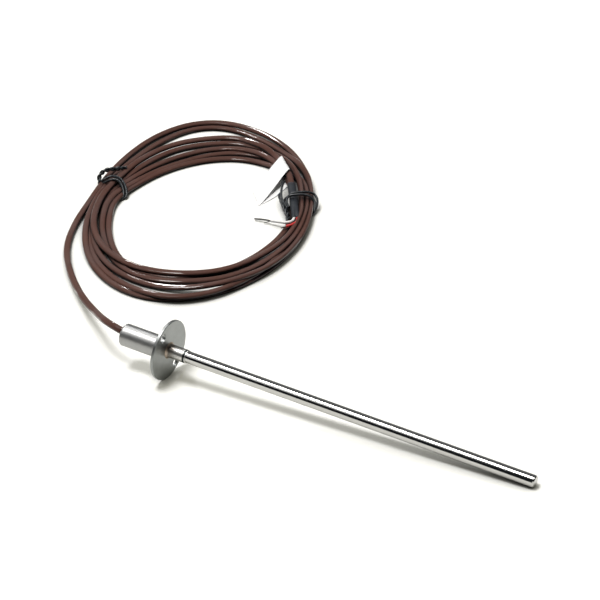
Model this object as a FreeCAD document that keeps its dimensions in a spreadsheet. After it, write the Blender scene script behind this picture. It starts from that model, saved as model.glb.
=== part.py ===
import FreeCAD, Part
import math
import os
import Sketcher
from FreeCAD import Placement, Rotation, Vector

# Flange-mounted thermocouple probe with a coiled two-core cable, in millimetres.
# The probe lies on the flange's rim and the tip's edge. Its local X axis runs along the
# sheath from the flange's front face to the tip. In the part's frame +X is the probe's
# direction over the table, +Z is up, and the origin is under the middle of the probe.

SIZES = {
    # sheath
    "sheath_diameter": "6.35",
    "sheath_wall": "0.71",
    "sheath_length": "203.2",
    "sheath_overhang": "2.0",
    "tip_wall": "2.0",
    "tip_chamfer": "0.6",
    # collar and flange
    "collar_diameter": "7.1",
    "collar_length": "11.0",
    "collar_weld": "0.9",
    "flange_diameter": "31.75",
    "flange_thickness": "1.6",
    "flange_chamfer": "0.2",
    "hole_circle": "24.4",
    "hole_diameter": "4.8",
    "hole_count": "2",
    "hole_angle": "31",
    # housing
    "housing_diameter": "11.8",
    "housing_length": "25.4",
    "housing_wall": "1.2",
    "housing_front_wall": "3.0",
    "housing_edge_radius": "1.0",
    "potting_recess": "0.6",
    "fit_clearance": "0.03",
    # insulator, elements and junction
    "insulator_clearance": "0.1",
    "insulator_overhang": "1.5",
    "junction_space": "4.0",
    "wire_pitch": "1.9",
    "element_diameter": "0.81",
    "element_clearance": "0.12",
    "element_stub": "1.0",
    "bead_diameter": "3.2",
    # splices and leads
    "splice_length": "5.0",
    "splice_diameter": "1.7",
    "conductor_diameter": "0.96",
    "conductor_stub": "0.8",
    "lead_diameter": "1.6",
    "white_wire_length": "10.9",
    "red_wire_length": "3.2",
    # cable
    "cable_width": "3.8",
    "cable_thickness": "2.3",
    "cable_grip": "6.0",
    "cable_straight": "5.0",
    "jacket_clearance": "0.1",
    # coil, placed from the cable's exit, and the opening inside it
    "coil_x": "-55.95",
    "coil_y": "163.7",
    "coil_angle": "113.1",
    "coil_half_length": "110.2",
    "coil_half_width": "64.2",
    "coil_end_share": "0.70",
    "coil_height": "7.0",
    "coil_edge": "1.8",
    "ring_end_width": "39.5",
    "ring_side_width": "13.3",
    "opening_shift_x": "7.8",
    "opening_shift_y": "-6.9",
    "opening_turn": "-12.0",
    "opening_end_share": "0.80",
    # cable end, at a station round the opening
    "tail_station": "-45.0",
    "tail_angle": "-57.1",
    "tail_height": "4.2",
    "tail_length": "36.0",
    "notch_length": "64.0",
    "notch_depth": "4.5",
    "sleeve_start": "4.0",
    "sleeve_length": "42.0",
    "sleeve_wall": "0.45",
    "sleeve_clearance": "0.05",
    # paper flag, over the cable at a station round the opening
    "flag_station": "-22.9",
    "flag_lap": "9.0",
    "flag_width": "15.2",
    "flag_skew": "-19.0",
    "flag_flat": "10.5",
    "flag_reach": "34.0",
    "flag_thickness": "0.3",
    "flag_lift": "0.2",
    # twist ties
    "tie_wire": "1.4",
    "tie_clearance": "0.2",
    "tie_corner": "1.2",
    "tie_tail_diameter": "2.0",
    "tie_tail_length": "16.0",
    "left_tie_along": "14.5",
    "left_tie_inset": "11.3",
    "left_tie_turn": "75.7",
    "left_tie_span": "23.0",
    "right_tie_along": "25.0",
    "right_tie_side": "4.0",
    "right_tie_span": "16.0",
}

# Route of the cable from its straight exit to the coil: shares of the way in X and Y, and of
# the height of the exit over a cable that lies on the table.
CABLE_ROUTE = [
    (0.128, 0.0294, 0.980),
    (0.243, 0.109, 0.785),
    (0.437, 0.247, 0.431),
    (0.656, 0.428, 0.150),
    (0.828, 0.605, 0.028),
    (0.936, 0.794, 0.010),
    (1.0, 1.0, 0.089),
]

# Routes of the two leads past the sleeve's mouth: along the tail, to its side, and up.
WHITE_ROUTE = [
    (3.7, -2.4, -0.1),
    (4.3, -6.2, -0.4),
    (1.9, -9.9, -0.95),
    (-0.8, -14.1, -1.6),
]
RED_ROUTE = [
    (5.1, 0.2, 0.2),
    (7.9, -2.8, 0.1),
    (9.1, -6.3, -0.2),
]

# A cable's bend takes up this share of the shorter of its two runs.
BEND_SHARE = 0.45

doc = FreeCAD.newDocument("thermocouple_probe")
sheet = doc.addObject("Spreadsheet::Sheet", "sizes")
for row, (alias, number) in enumerate(SIZES.items(), start=1):
    sheet.set(f"A{row}", alias)
    sheet.set(f"B{row}", number)
    sheet.setAlias(f"B{row}", alias)
doc.recompute()


def cell(alias):
    """Gives the expression that reads one size."""
    return f"sizes.{alias}"


def size(alias):
    """Gives one size as a number."""
    return float(getattr(sheet, alias))


# Places along the probe's axis, from the flange's front face.
FLANGE_BACK = f"(-{cell('flange_thickness')})"
CAVITY_FRONT = f"({FLANGE_BACK} - {cell('housing_front_wall')})"
HOUSING_BACK = f"({FLANGE_BACK} - {cell('housing_length')})"
SHEATH_BACK = f"({CAVITY_FRONT} - {cell('sheath_overhang')})"
BORE_END = f"({cell('sheath_length')} - {cell('tip_wall')})"
INSULATOR_BACK = f"({SHEATH_BACK} - {cell('insulator_overhang')})"
INSULATOR_FRONT = f"({BORE_END} - {cell('junction_space')})"
BEAD_BACK = f"({INSULATOR_FRONT} + {cell('element_stub')})"
SPLICE_FRONT = f"({INSULATOR_BACK} - {cell('element_stub')})"
SPLICE_MIDDLE = f"({SPLICE_FRONT} - {cell('splice_length')} / 2)"
SPLICE_BACK = f"({SPLICE_FRONT} - {cell('splice_length')})"
LEAD_FRONT = f"({SPLICE_BACK} - {cell('conductor_stub')})"
JACKET_FRONT = f"({HOUSING_BACK} + {cell('cable_grip')})"
POTTING_BACK = f"({HOUSING_BACK} + {cell('potting_recess')})"

# Radii that mate.
SHEATH_RADIUS = f"({cell('sheath_diameter')} / 2)"
SHEATH_SEAT = f"({SHEATH_RADIUS} + {cell('fit_clearance')})"
SHEATH_BORE = f"({SHEATH_RADIUS} - {cell('sheath_wall')})"
INSULATOR_RADIUS = f"({SHEATH_BORE} - {cell('insulator_clearance')})"
COLLAR_RADIUS = f"({cell('collar_diameter')} / 2)"
HOUSING_RADIUS = f"({cell('housing_diameter')} / 2)"
CAVITY_RADIUS = f"({HOUSING_RADIUS} - {cell('housing_wall')})"
BEAD_RADIUS = f"({cell('bead_diameter')} / 2)"
WELD_RADIUS = f"({COLLAR_RADIUS} + {cell('collar_weld')})"
WELD_DEPTH = f"({WELD_RADIUS} - {SHEATH_SEAT})"

# The probe's rest on the table: the rim of the flange and the edge of the tip touch it.
FLANGE_RADIUS = f"({cell('flange_diameter')} / 2)"
CONTACT_SPAN = f"({cell('sheath_length')} - {cell('tip_chamfer')} + {cell('flange_chamfer')})"
TILT = f"atan(({FLANGE_RADIUS} - {SHEATH_RADIUS}) / {CONTACT_SPAN})"
FRONT_REACH = (
    f"({cell('sheath_length')} * cos({TILT})"
    f" + ({SHEATH_RADIUS} - {cell('tip_chamfer')}) * sin({TILT}))"
)
BACK_REACH = (
    f"((-{HOUSING_BACK} - {cell('housing_edge_radius')}) * cos({TILT})"
    f" + ({HOUSING_RADIUS} - {cell('housing_edge_radius')}) * sin({TILT})"
    f" + {cell('housing_edge_radius')})"
)
PROBE_X = f"(({BACK_REACH} - {FRONT_REACH}) / 2)"
PROBE_Z = f"({FLANGE_RADIUS} * cos({TILT}) - {cell('flange_chamfer')} * sin({TILT}))"
EXIT_X = f"({PROBE_X} + {HOUSING_BACK} * cos({TILT}))"


def turned(start_x, start_y, angle, along, side):
    """Gives X and Y expressions for a place in a frame that is turned about the vertical."""
    cosine = f"cos(({angle}) * 1 deg)"
    sine = f"sin(({angle}) * 1 deg)"
    across = f"({start_x} + ({along}) * {cosine} - ({side}) * {sine})"
    forward = f"({start_y} + ({along}) * {sine} + ({side}) * {cosine})"
    return across, forward


# The coil and what lies on it, from the cable's exit.
COIL_ANGLE = cell("coil_angle")
COIL_FRAME = (cell("coil_x"), cell("coil_y"), COIL_ANGLE)
COIL_JOIN = turned(*COIL_FRAME, "0", f"{cell('coil_half_width')} - {cell('cable_width')} / 2")
OPENING_FRAME = (
    f"({cell('coil_x')} + {cell('opening_shift_x')})",
    f"({cell('coil_y')} + {cell('opening_shift_y')})",
    f"({COIL_ANGLE} + {cell('opening_turn')})",
)
OPENING_LENGTH = f"({cell('coil_half_length')} - {cell('ring_end_width')})"
OPENING_WIDTH = f"({cell('coil_half_width')} - {cell('ring_side_width')})"


def opening_place(station):
    """Gives X and Y expressions for a station round the opening, in degrees from its back."""
    along = f"{OPENING_LENGTH} * cos({station} * 1 deg)"
    side = f"{OPENING_WIDTH} * sin({station} * 1 deg)"
    return turned(*OPENING_FRAME, along, side)


TAIL_ANGLE = cell("tail_angle")
TAIL_FRAME = opening_place(cell("tail_station")) + (TAIL_ANGLE,)
LEFT_TIE_SIDE = f"{cell('coil_half_width')} - {cell('left_tie_inset')}"
LEFT_TIE_PLACE = turned(*COIL_FRAME, cell("left_tie_along"), LEFT_TIE_SIDE)
LEFT_TIE_FRAME = LEFT_TIE_PLACE + (f"({COIL_ANGLE} + {cell('left_tie_turn')})",)
RIGHT_TIE_PLACE = turned(*TAIL_FRAME, cell("right_tie_along"), cell("right_tie_side"))
RIGHT_TIE_FRAME = RIGHT_TIE_PLACE + (f"({TAIL_ANGLE} + 90)",)


def new_body(label):
    """Adds an empty body whose label names its file."""
    body = doc.addObject("PartDesign::Body", label)
    body.Label = label
    return body


def origin_plane(body, role):
    """Finds one of a body's own origin planes."""
    for feature in body.Origin.OriginFeatures:
        if feature.Role == role:
            return feature
    raise RuntimeError(f"{body.Label} has no {role}")


def new_sketch(body, name, role, offset=None, frame=None):
    """Adds a sketch on an origin plane, moved by expressions along and within the plane."""
    sketch = body.newObject("Sketcher::SketchObject", f"{body.Name}_{name}")
    sketch.AttachmentSupport = [(origin_plane(body, role), "")]
    sketch.MapMode = "FlatFace"
    if frame is not None:
        across, up, angle = frame
        sketch.AttachmentOffset = Placement(Vector(), Rotation(Vector(0, 0, 1), 1))
        sketch.setExpression("AttachmentOffset.Base.x", across)
        sketch.setExpression("AttachmentOffset.Base.y", up)
        sketch.setExpression("AttachmentOffset.Rotation.Angle", f"({angle}) * 1 deg")
    if offset is not None:
        sketch.setExpression("AttachmentOffset.Base.z", offset)
    return sketch


def number_of(expression):
    """Works out an expression in the sheet's terms."""
    result = sheet.evalExpression(expression)
    return float(getattr(result, "Value", result))


def pin_point(sketch, geometry, end, across, up):
    """Holds a sketch point at two expressions, measured from the sketch's origin."""
    for kind, expression in (("DistanceX", across), ("DistanceY", up)):
        value = number_of(expression)
        if value < 0:
            index = sketch.addConstraint(Sketcher.Constraint(kind, geometry, end, -1, 1, -value))
            sketch.setExpression(f"Constraints[{index}]", f"-({expression})")
        else:
            index = sketch.addConstraint(Sketcher.Constraint(kind, -1, 1, geometry, end, value))
            sketch.setExpression(f"Constraints[{index}]", expression)


def draw_polygon(sketch, corners):
    """Draws a closed outline through corners given as pairs of expressions."""
    points = [Vector(number_of(across), number_of(up), 0) for across, up in corners]
    first = sketch.GeometryCount
    count = len(points)
    for index, point in enumerate(points):
        sketch.addGeometry(Part.LineSegment(point, points[(index + 1) % count]))
    for index in range(count):
        following = first + (index + 1) % count
        sketch.addConstraint(Sketcher.Constraint("Coincident", first + index, 2, following, 1))
    for index, (across, up) in enumerate(corners):
        pin_point(sketch, first + index, 1, across, up)


def draw_circle(sketch, across, up, diameter):
    """Draws a circle whose centre and diameter are expressions."""
    centre = Vector(number_of(across), number_of(up), 0)
    circle = Part.Circle(centre, Vector(0, 0, 1), number_of(diameter) / 2)
    geometry = sketch.addGeometry(circle)
    index = sketch.addConstraint(Sketcher.Constraint("Diameter", geometry, number_of(diameter)))
    sketch.setExpression(f"Constraints[{index}]", diameter)
    pin_point(sketch, geometry, 3, across, up)


def draw_flat_oval(sketch, width, thickness):
    """Draws a cable's flat section: two straight sides and two round edges."""
    radius = number_of(thickness) / 2
    half = number_of(width) / 2 - radius
    normal = Vector(0, 0, 1)
    first = sketch.GeometryCount
    sketch.addGeometry(Part.LineSegment(Vector(-half, radius, 0), Vector(half, radius, 0)))
    right = Part.Circle(Vector(half, 0, 0), normal, radius)
    sketch.addGeometry(Part.ArcOfCircle(right, -math.pi / 2, math.pi / 2))
    sketch.addGeometry(Part.LineSegment(Vector(half, -radius, 0), Vector(-half, -radius, 0)))
    left = Part.Circle(Vector(-half, 0, 0), normal, radius)
    sketch.addGeometry(Part.ArcOfCircle(left, math.pi / 2, 3 * math.pi / 2))
    top, bottom = first, first + 2
    right_edge, left_edge = first + 1, first + 3
    sketch.addConstraint(Sketcher.Constraint("Tangent", top, 2, right_edge, 2))
    sketch.addConstraint(Sketcher.Constraint("Tangent", right_edge, 1, bottom, 1))
    sketch.addConstraint(Sketcher.Constraint("Tangent", bottom, 2, left_edge, 2))
    sketch.addConstraint(Sketcher.Constraint("Tangent", left_edge, 1, top, 1))
    sketch.addConstraint(Sketcher.Constraint("Horizontal", top))
    sketch.addConstraint(Sketcher.Constraint("Radius", right_edge, radius))
    index = sketch.ConstraintCount - 1
    sketch.setExpression(f"Constraints[{index}]", f"{thickness} / 2")
    pin_point(sketch, right_edge, 3, f"({width} - {thickness}) / 2", "0")
    pin_point(sketch, left_edge, 3, f"({thickness} - {width}) / 2", "0")


def revolve(body, sketch):
    """Turns a profile about the probe's axis."""
    feature = body.newObject("PartDesign::Revolution", f"{sketch.Name}_turned")
    feature.Profile = sketch
    feature.ReferenceAxis = (sketch, ["H_Axis"])
    feature.Angle = 360
    sketch.Visibility = False
    return feature


def pad(body, sketch, length, midplane=False):
    """Raises a sketch along its normal."""
    feature = body.newObject("PartDesign::Pad", f"{sketch.Name}_raised")
    feature.Profile = sketch
    feature.setExpression("Length", length)
    feature.Midplane = midplane
    return feature


def pocket(body, sketch, length):
    """Cuts a sketch along its normal, and makes sure that it takes something away."""
    doc.recompute()
    before = body.Shape.Volume
    feature = body.newObject("PartDesign::Pocket", f"{sketch.Name}_cut")
    feature.Profile = sketch
    feature.Reversed = True
    feature.setExpression("Length", length)
    doc.recompute()
    if body.Shape.Volume >= before:
        raise RuntimeError(f"{feature.Name} cuts nothing")
    return feature


def ring_edges(body, places):
    """Names the round edges of a body at the given pairs of place along X and radius."""
    names = []
    for index, edge in enumerate(body.Shape.Edges, start=1):
        if not isinstance(edge.Curve, Part.Circle):
            continue
        for along, radius in places:
            near = abs(edge.Curve.Center.x - along) < 1e-4
            if near and abs(edge.Curve.Radius - radius) < 1e-4:
                names.append(f"Edge{index}")
    return names


def seat_on_probe(body):
    """Gives a body the probe's pose: tilted about Y until rim and tip touch the table."""
    body.Placement = Placement(Vector(), Rotation(Vector(0, 1, 0), 1))
    body.setExpression("Placement.Base.x", PROBE_X)
    body.setExpression("Placement.Base.z", PROBE_Z)
    body.setExpression("Placement.Rotation.Angle", TILT)


def seat_on_table(item, across, along, up, angle):
    """Places an item from the cable's exit, turned about the vertical."""
    item.Placement = Placement(Vector(), Rotation(Vector(0, 0, 1), 1))
    item.setExpression("Placement.Base.x", f"{EXIT_X} + {across}")
    item.setExpression("Placement.Base.y", along)
    item.setExpression("Placement.Base.z", up)
    item.setExpression("Placement.Rotation.Angle", f"({angle}) * 1 deg")


def turned_part(label, profile):
    """Makes a turned piece from its half section."""
    body = new_body(label)
    sketch = new_sketch(body, "profile", "XZ_Plane")
    draw_polygon(sketch, profile)
    revolve(body, sketch)
    return body


def make_sheath():
    """A drawn tube with a closed, chamfered tip."""
    tip = cell("sheath_length")
    chamfer = cell("tip_chamfer")
    return turned_part("sheath", [
        (SHEATH_BACK, SHEATH_BORE),
        (SHEATH_BACK, SHEATH_RADIUS),
        (f"{tip} - {chamfer}", SHEATH_RADIUS),
        (tip, f"{SHEATH_RADIUS} - {chamfer}"),
        (tip, "0"),
        (BORE_END, "0"),
        (BORE_END, SHEATH_BORE),
    ])


def make_collar():
    """A short sleeve on the sheath. The weld at its root fills the flange's countersink."""
    weld = cell("collar_weld")
    length = cell("collar_length")
    return turned_part("collar", [
        (f"-{WELD_DEPTH}", SHEATH_SEAT),
        ("0", WELD_RADIUS),
        (f"{weld} * 0.35", f"{COLLAR_RADIUS} + {weld} * 0.45"),
        (weld, COLLAR_RADIUS),
        (length, COLLAR_RADIUS),
        (length, SHEATH_SEAT),
    ])


def make_flange():
    """A thin plate with bolt holes on a circle, broken edges and a countersunk bore."""
    body = new_body("flange")
    plate = new_sketch(body, "plate", "YZ_Plane", FLANGE_BACK)
    draw_circle(plate, "0", "0", cell("flange_diameter"))
    draw_circle(plate, "0", "0", f"2 * {SHEATH_SEAT}")
    pad(body, plate, cell("flange_thickness"))
    doc.recompute()
    chamfer = body.newObject("PartDesign::Chamfer", "flange_broken_edges")
    rim = size("flange_diameter") / 2
    rims = ring_edges(body, [(0, rim), (-size("flange_thickness"), rim)])
    chamfer.Base = (doc.getObject("flange_plate_raised"), rims)
    chamfer.setExpression("Size", cell("flange_chamfer"))
    body.Tip = chamfer
    doc.recompute()
    countersink = body.newObject("PartDesign::Chamfer", "flange_countersink")
    countersink.Base = (chamfer, ring_edges(body, [(0, number_of(SHEATH_SEAT))]))
    countersink.setExpression("Size", WELD_DEPTH)
    body.Tip = countersink
    hole = new_sketch(body, "hole", "YZ_Plane", FLANGE_BACK)
    radius = f"{cell('hole_circle')} / 2"
    across = f"-{radius} * sin({cell('hole_angle')} * 1 deg)"
    up = f"{radius} * cos({cell('hole_angle')} * 1 deg)"
    draw_circle(hole, across, up, cell("hole_diameter"))
    bored = pocket(body, hole, cell("flange_thickness"))
    pattern = body.newObject("PartDesign::PolarPattern", "flange_hole_circle")
    pattern.Originals = [bored]
    pattern.Axis = (hole, ["N_Axis"])
    pattern.Angle = 360
    pattern.setExpression("Occurrences", cell("hole_count"))
    body.Tip = pattern
    return body


def make_housing():
    """A turned cup: front wall on the sheath, open back with a rounded edge."""
    body = turned_part("housing", [
        (FLANGE_BACK, SHEATH_SEAT),
        (FLANGE_BACK, HOUSING_RADIUS),
        (HOUSING_BACK, HOUSING_RADIUS),
        (HOUSING_BACK, CAVITY_RADIUS),
        (CAVITY_FRONT, CAVITY_RADIUS),
        (CAVITY_FRONT, SHEATH_SEAT),
    ])
    doc.recompute()
    rounding = body.newObject("PartDesign::Fillet", "housing_rounded_edge")
    back_edge = [(number_of(HOUSING_BACK), number_of(HOUSING_RADIUS))]
    rounding.Base = (doc.getObject("housing_profile_turned"), ring_edges(body, back_edge))
    rounding.setExpression("Radius", cell("housing_edge_radius"))
    body.Tip = rounding
    return body


def make_insulator():
    """A ceramic rod with two bores for the elements."""
    body = new_body("insulator")
    sketch = new_sketch(body, "section", "YZ_Plane", INSULATOR_BACK)
    draw_circle(sketch, "0", "0", f"2 * {INSULATOR_RADIUS}")
    bore = f"{cell('element_diameter')} + 2 * {cell('element_clearance')}"
    for side in (-1, 1):
        draw_circle(sketch, f"{side} * {cell('wire_pitch')} / 2", "0", bore)
    pad(body, sketch, f"{INSULATOR_FRONT} - {INSULATOR_BACK}")
    return body


def straight_wire(label, side, start, end, diameter, bore=None):
    """A round wire or tube beside the probe's axis, between two places along it."""
    body = new_body(label)
    sketch = new_sketch(body, "section", "YZ_Plane", start)
    across = f"{side} * {cell('wire_pitch')} / 2"
    draw_circle(sketch, across, "0", diameter)
    if bore is not None:
        draw_circle(sketch, across, "0", bore)
    pad(body, sketch, f"{end} - {start}")
    return body


def make_bead():
    """The welded junction: a half ball whose flat back takes both elements."""
    body = new_body("junction_bead")
    sketch = new_sketch(body, "profile", "XZ_Plane")
    back = number_of(BEAD_BACK)
    radius = number_of(BEAD_RADIUS)
    centre = Vector(back, 0, 0)
    top = Vector(back, radius, 0)
    front = Vector(back + radius, 0, 0)
    sketch.addGeometry(Part.LineSegment(centre, top))
    ball = Part.Circle(centre, Vector(0, 0, 1), radius)
    sketch.addGeometry(Part.ArcOfCircle(ball, 0, math.pi / 2))
    sketch.addGeometry(Part.LineSegment(front, centre))
    sketch.addConstraint(Sketcher.Constraint("Coincident", 0, 2, 1, 2))
    sketch.addConstraint(Sketcher.Constraint("Coincident", 1, 1, 2, 1))
    sketch.addConstraint(Sketcher.Constraint("Coincident", 2, 2, 0, 1))
    sketch.addConstraint(Sketcher.Constraint("Coincident", 1, 3, 0, 1))
    sketch.addConstraint(Sketcher.Constraint("PointOnObject", 2, 1, -1))
    pin_point(sketch, 0, 1, BEAD_BACK, "0")
    pin_point(sketch, 0, 2, BEAD_BACK, BEAD_RADIUS)
    revolve(body, sketch)
    return body


def make_potting():
    """The cast filling of the housing, with the spaces that the wires and cable take."""
    body = turned_part("potting", [
        (CAVITY_FRONT, SHEATH_RADIUS),
        (CAVITY_FRONT, CAVITY_RADIUS),
        (POTTING_BACK, CAVITY_RADIUS),
        (POTTING_BACK, "0"),
        (INSULATOR_BACK, "0"),
        (INSULATOR_BACK, INSULATOR_RADIUS),
        (SHEATH_BACK, INSULATOR_RADIUS),
        (SHEATH_BACK, SHEATH_RADIUS),
    ])
    spaces = [
        ("elements", SPLICE_FRONT, INSULATOR_BACK, cell("element_diameter")),
        ("splices", SPLICE_BACK, SPLICE_FRONT, cell("splice_diameter")),
        ("conductors", LEAD_FRONT, SPLICE_BACK, cell("conductor_diameter")),
        ("leads", JACKET_FRONT, LEAD_FRONT, cell("lead_diameter")),
    ]
    for name, start, end, diameter in spaces:
        sketch = new_sketch(body, name, "YZ_Plane", start)
        for side in (-1, 1):
            draw_circle(sketch, f"{side} * {cell('wire_pitch')} / 2", "0", diameter)
        pocket(body, sketch, f"{end} - {start}")
    jacket = new_sketch(body, "jacket", "YZ_Plane", HOUSING_BACK)
    draw_flat_oval(jacket, cell("cable_width"), cell("cable_thickness"))
    pocket(body, jacket, cell("cable_grip"))
    return body


def rounded_wire(points):
    """Joins straight runs by arcs that are tangent to both, and gives the arcs' radii too."""
    edges = []
    radii = []
    start = points[0]
    for before, corner, after in zip(points, points[1:], points[2:]):
        incoming = (corner - before).normalize()
        outgoing = (after - corner).normalize()
        half_turn = incoming.getAngle(outgoing) / 2
        reach = BEND_SHARE * min((corner - before).Length, (after - corner).Length)
        first = corner - incoming * reach
        last = corner + outgoing * reach
        radius = reach / math.tan(half_turn)
        inward = (outgoing - incoming).normalize()
        middle = corner + inward * (radius / math.cos(half_turn) - radius)
        edges.append(Part.LineSegment(start, first).toShape())
        edges.append(Part.Arc(first, middle, last).toShape())
        radii.append(radius)
        start = last
    edges.append(Part.LineSegment(start, points[-1]).toShape())
    return Part.Wire(edges), radii


def probe_point(along):
    """Gives the table position of a place on the probe's axis."""
    tilt = math.radians(number_of(TILT))
    rise = -along * math.sin(tilt)
    return Vector(number_of(PROBE_X) + along * math.cos(tilt), 0, number_of(PROBE_Z) + rise)


def cable_points():
    """Gives the cable's route: inside the potting, straight out, then over to the coil."""
    table = size("cable_thickness") / 2
    way_out = probe_point(number_of(HOUSING_BACK))
    join_x, join_y = (number_of(place) for place in COIL_JOIN)
    points = [
        probe_point(number_of(JACKET_FRONT) - size("jacket_clearance")),
        probe_point(number_of(HOUSING_BACK) - size("cable_straight")),
    ]
    for across, along, up in CABLE_ROUTE:
        height = table + up * (way_out.z - table)
        points.append(Vector(way_out.x + across * join_x, along * join_y, height))
    return points


def flat_section(centre, heading):
    """Gives the cable's flat outline in the vertical plane across a heading."""
    side = Vector(0, 0, 1).cross(Vector(heading.x, heading.y, 0)).normalize()
    up = Vector(0, 0, 1)
    radius = size("cable_thickness") / 2
    half = size("cable_width") / 2 - radius
    right = centre + side * half
    left = centre - side * half
    edges = [
        Part.LineSegment(left + up * radius, right + up * radius).toShape(),
        Part.Arc(right + up * radius, right + side * radius, right - up * radius).toShape(),
        Part.LineSegment(right - up * radius, left - up * radius).toShape(),
        Part.Arc(left - up * radius, left - side * radius, left + up * radius).toShape(),
    ]
    return Part.Wire(edges)


def add_shape(label, shape):
    """Adds a finished shape that no ready feature makes."""
    item = doc.addObject("Part::Feature", label)
    item.Label = label
    item.Shape = shape
    return item


def make_cable_lead():
    """The flat cable from inside the potting to the coil, its broad side level."""
    points = cable_points()
    wire, radii = rounded_wire(points)
    sweep = Part.BRepOffsetAPI.MakePipeShell(wire)
    sweep.setBiNormalMode(Vector(0, 0, 1))
    sweep.add(flat_section(points[0], points[1] - points[0]), False, False)
    sweep.build()
    sweep.makeSolid()
    shape = sweep.shape()
    thickness = size("cable_thickness")
    straight_part = (size("cable_width") - thickness) * thickness
    section = straight_part + math.pi * thickness * thickness / 4
    print("cable bend radii", [round(radius, 1) for radius in radii])
    print("cable length", round(wire.Length, 2), "volume over section x length",
          round(shape.Volume / (section * wire.Length), 4))
    return add_shape("cable_lead", shape)


def draw_oval(sketch, half_length, half_width, end_radius):
    """Draws an oval of four arcs: two round ends and two flatter sides that meet them."""
    length_left = f"({half_length} - {end_radius})"
    square = f"({length_left} * {length_left} + {half_width} * {half_width}"
    square = f"{square} - {end_radius} * {end_radius})"
    side_radius = f"({square} / (2 * ({half_width} - {end_radius})))"
    span = f"({side_radius} - {end_radius})"
    joint_x = f"({length_left} + {end_radius} * {length_left} / {span})"
    joint_y = f"({end_radius} * ({side_radius} - {half_width}) / {span})"
    across, up = number_of(joint_x), number_of(joint_y)
    end, side = number_of(end_radius), number_of(side_radius)
    shift, drop = number_of(length_left), side - number_of(half_width)
    turn = math.atan2(drop, shift)
    normal = Vector(0, 0, 1)
    arcs = [
        (Vector(shift, 0, 0), end, -turn, turn),
        (Vector(0, -drop, 0), side, turn, math.pi - turn),
        (Vector(-shift, 0, 0), end, math.pi - turn, math.pi + turn),
        (Vector(0, drop, 0), side, math.pi + turn, 2 * math.pi - turn),
    ]
    first = sketch.GeometryCount
    for centre, radius, begin, finish in arcs:
        sketch.addGeometry(Part.ArcOfCircle(Part.Circle(centre, normal, radius), begin, finish))
    corners = [(joint_x, f"-{joint_y}"), (joint_x, joint_y)]
    corners += [(f"-{joint_x}", joint_y), (f"-{joint_x}", f"-{joint_y}")]
    for number, (corner_x, corner_y) in enumerate(corners):
        following = first + (number + 1) % 4
        sketch.addConstraint(Sketcher.Constraint("Coincident", first + number, 2, following, 1))
        pin_point(sketch, first + number, 1, corner_x, corner_y)
        radius = side_radius if number % 2 else end_radius
        index = sketch.addConstraint(
            Sketcher.Constraint("Radius", first + number, number_of(radius)))
        sketch.setExpression(f"Constraints[{index}]", radius)


def draw_rectangle(sketch, left, right, low, high):
    """Draws a rectangle between four expressions."""
    draw_polygon(sketch, [(left, low), (right, low), (right, high), (left, high)])


SLEEVE_INNER_WIDTH = f"({cell('cable_width')} + 2 * {cell('sleeve_clearance')})"
SLEEVE_INNER_THICKNESS = f"({cell('cable_thickness')} + 2 * {cell('sleeve_clearance')})"
SLEEVE_WIDTH = f"({SLEEVE_INNER_WIDTH} + 2 * {cell('sleeve_wall')})"
SLEEVE_THICKNESS = f"({SLEEVE_INNER_THICKNESS} + 2 * {cell('sleeve_wall')})"
TIE_WIDTH = f"(2 * {cell('tie_wire')})"


def cut_tie_channel(body, name, seat, span):
    """Makes room under the coil for a tie."""
    sketch = new_sketch(body, name, "XY_Plane", "-1", seat)
    reach = f"({span} / 2 + 3 * {cell('tie_wire')})"
    room = f"({TIE_WIDTH} / 2 + {cell('tie_clearance')})"
    draw_rectangle(sketch, f"-{reach}", reach, f"-{room}", room)
    pocket(body, sketch, f"1 + {cell('tie_wire')} + {cell('tie_clearance')}")


def make_coil():
    """The outer shape of the coiled cable, with room for lead, sleeve and ties."""
    body = new_body("cable_coil")
    height = cell("coil_height")
    outline = new_sketch(body, "outline", "XY_Plane", "0", COIL_FRAME)
    width = cell("coil_half_width")
    draw_oval(outline, cell("coil_half_length"), width, f"({cell('coil_end_share')} * {width})")
    pad(body, outline, height)
    opening = new_sketch(body, "opening", "XY_Plane", "0", OPENING_FRAME)
    end_radius = f"({cell('opening_end_share')} * {OPENING_WIDTH})"
    draw_oval(opening, OPENING_LENGTH, OPENING_WIDTH, end_radius)
    pierced = pocket(body, opening, height)
    slope = body.newObject("PartDesign::Chamfer", "cable_coil_sloped")
    edges = []
    for index, edge in enumerate(body.Shape.Edges, start=1):
        if edge.BoundBox.ZLength < 1e-6:
            edges.append(f"Edge{index}")
    slope.Base = (pierced, edges)
    slope.setExpression("Size", cell("coil_edge"))
    body.Tip = slope

    before, end = cable_points()[-2:]
    heading = math.degrees(math.atan2(end.y - before.y, end.x - before.x))
    lead_frame = COIL_JOIN + (f"{heading:.6f}",)
    lead_notch = new_sketch(body, "lead_notch", "XY_Plane", "-1", lead_frame)
    room = f"({cell('cable_width')} / 2 + {cell('tie_clearance')})"
    draw_rectangle(lead_notch, f"-10 * {cell('cable_width')}", "0", f"-{room}", width)
    pocket(body, lead_notch, f"{height} + 2")
    notch_floor = f"{height} - {cell('notch_depth')}"
    tail_notch = new_sketch(body, "tail_notch", "XY_Plane", notch_floor, TAIL_FRAME)
    room = f"({SLEEVE_WIDTH} / 2 + {cell('tie_clearance')})"
    draw_rectangle(tail_notch, "0", cell("notch_length"), f"-{OPENING_WIDTH}", room)
    pocket(body, tail_notch, f"{cell('notch_depth')} + 1")
    cut_tie_channel(body, "left_channel", LEFT_TIE_FRAME, cell("left_tie_span"))
    cut_tie_channel(body, "right_channel", RIGHT_TIE_FRAME, cell("right_tie_span"))
    seat_on_table(body, "0", "0", "0", "0")
    return body


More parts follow.
